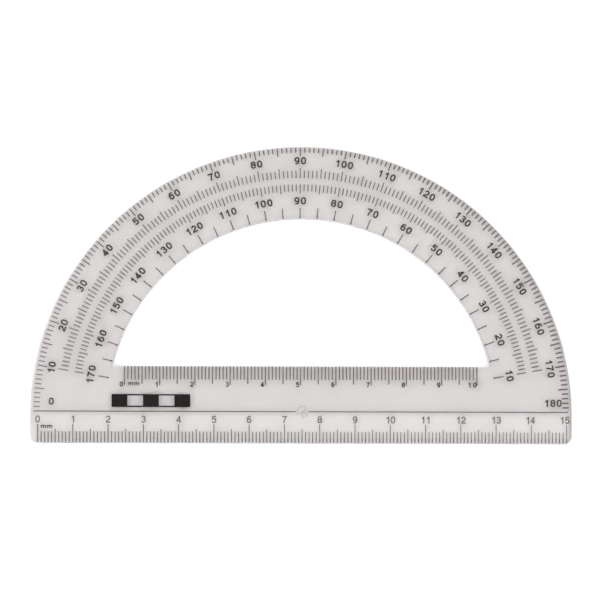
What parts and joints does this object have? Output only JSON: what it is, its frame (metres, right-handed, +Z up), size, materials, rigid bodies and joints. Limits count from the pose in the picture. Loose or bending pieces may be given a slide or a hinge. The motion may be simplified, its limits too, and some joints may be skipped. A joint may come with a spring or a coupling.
{
  "type": "protractor",
  "caption": "Flat clear plastic half-circle protractor with a D-shaped window, printed degree rings and a ruler along the base edge and the window edge.",
  "frame": {"origin": "on the underside of the plate, under the vertex of the angles", "axes": "+X along the base line from 0 to 180 degrees of the outer scale, +Y from the vertex towards 90 degrees, +Z up out of the printed face"},
  "size_m": [0.1536, 0.0847, 0.002],
  "materials": {
    "clear_plastic": "clear moulded polystyrene, glossy, very slightly warm grey",
    "black_print": "thin black printing ink, satin"
  },
  "bodies": {
    "root": {"plate": "clear_plastic", "outer_degree_ticks": "black_print", "upper_ring_ticks": "black_print", "lower_ring_ticks": "black_print", "window_degree_lines": "black_print", "window_ruler_ticks": "black_print", "base_ruler_ticks": "black_print", "base_line_left": "black_print", "base_line_right": "black_print", "bar_scale_mark": "black_print"}
  },
  "joints": []
}
